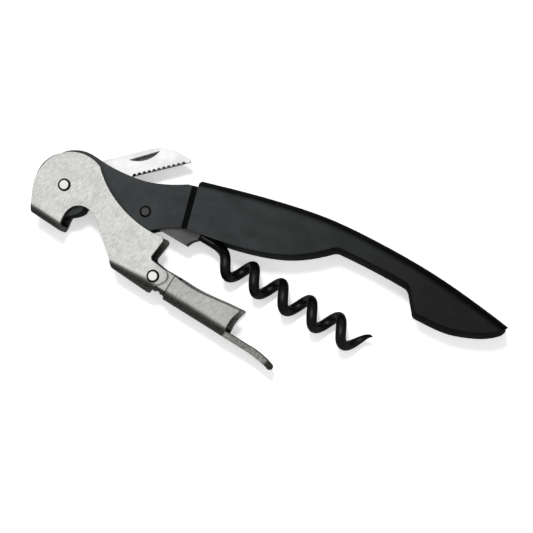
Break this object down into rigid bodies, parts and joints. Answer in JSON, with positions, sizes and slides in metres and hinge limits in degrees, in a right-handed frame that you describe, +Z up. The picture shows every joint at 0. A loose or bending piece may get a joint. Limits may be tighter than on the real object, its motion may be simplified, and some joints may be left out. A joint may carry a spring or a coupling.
{
  "type": "waiter's corkscrew",
  "caption": "Folding double-lever corkscrew with a serrated foil knife, a coiled worm and a cap lifter in the first lever, on a folded sheet-steel handle.",
  "frame": {"origin": "bottom centre of the bounding box in the half-open rest pose, on the surface the tool lies on", "axes": "+X from the head to the tail tip, +Y towards the spine of the handle, +Z up through the thickness, along all the rivets"},
  "size_m": [0.1226, 0.0444, 0.012],
  "materials": {
    "black_paint": "satin",
    "rivet_steel": "polished",
    "washer_steel": "satin",
    "black_rivet": "gloss",
    "lever_steel": "brushed",
    "blade_steel": "polished",
    "clip_steel": "satin",
    "worm_coating": "gloss"
  },
  "bodies": {
    "handle": {"handle_channel": "black_paint", "head_rivet": "rivet_steel", "worm_rivet": "black_rivet", "lever_washers": "washer_steel", "knife_spacers": "washer_steel"},
    "first_lever": {"first_lever": "lever_steel", "hinge_rivet": "rivet_steel"},
    "second_lever": {"second_lever": "lever_steel"},
    "knife": {"knife_blade": "blade_steel"},
    "worm": {"worm_base": "clip_steel", "worm_wire": "worm_coating"}
  },
  "joints": [
    {"name": "lever_pivot", "type": "hinge", "parent": "handle", "child": "first_lever", "pos_m": [-0.05327, 0.00539, 0.006], "axis": [0, 0, -1], "range_deg": [-15, 80]},
    {"name": "arm_hinge", "type": "hinge", "parent": "first_lever", "child": "second_lever", "pos_m": [-0.02497, -0.00921, 0.006], "axis": [0, 0, -1], "range_deg": [0, 20]},
    {"name": "knife_pivot", "type": "hinge", "parent": "handle", "child": "knife", "pos_m": [-0.05327, 0.00539, 0.006], "axis": [0, 0, 1], "range_deg": [-14.5, 85]},
    {"name": "worm_pivot", "type": "hinge", "parent": "handle", "child": "worm", "pos_m": [-0.03217, 0.00539, 0.006], "axis": [0, 0, -1], "range_deg": [-15, 75]}
  ],
  "couplings": [
    {"joint": "worm_pivot", "follows": "lever_pivot", "ratio": 0.9}
  ]
}
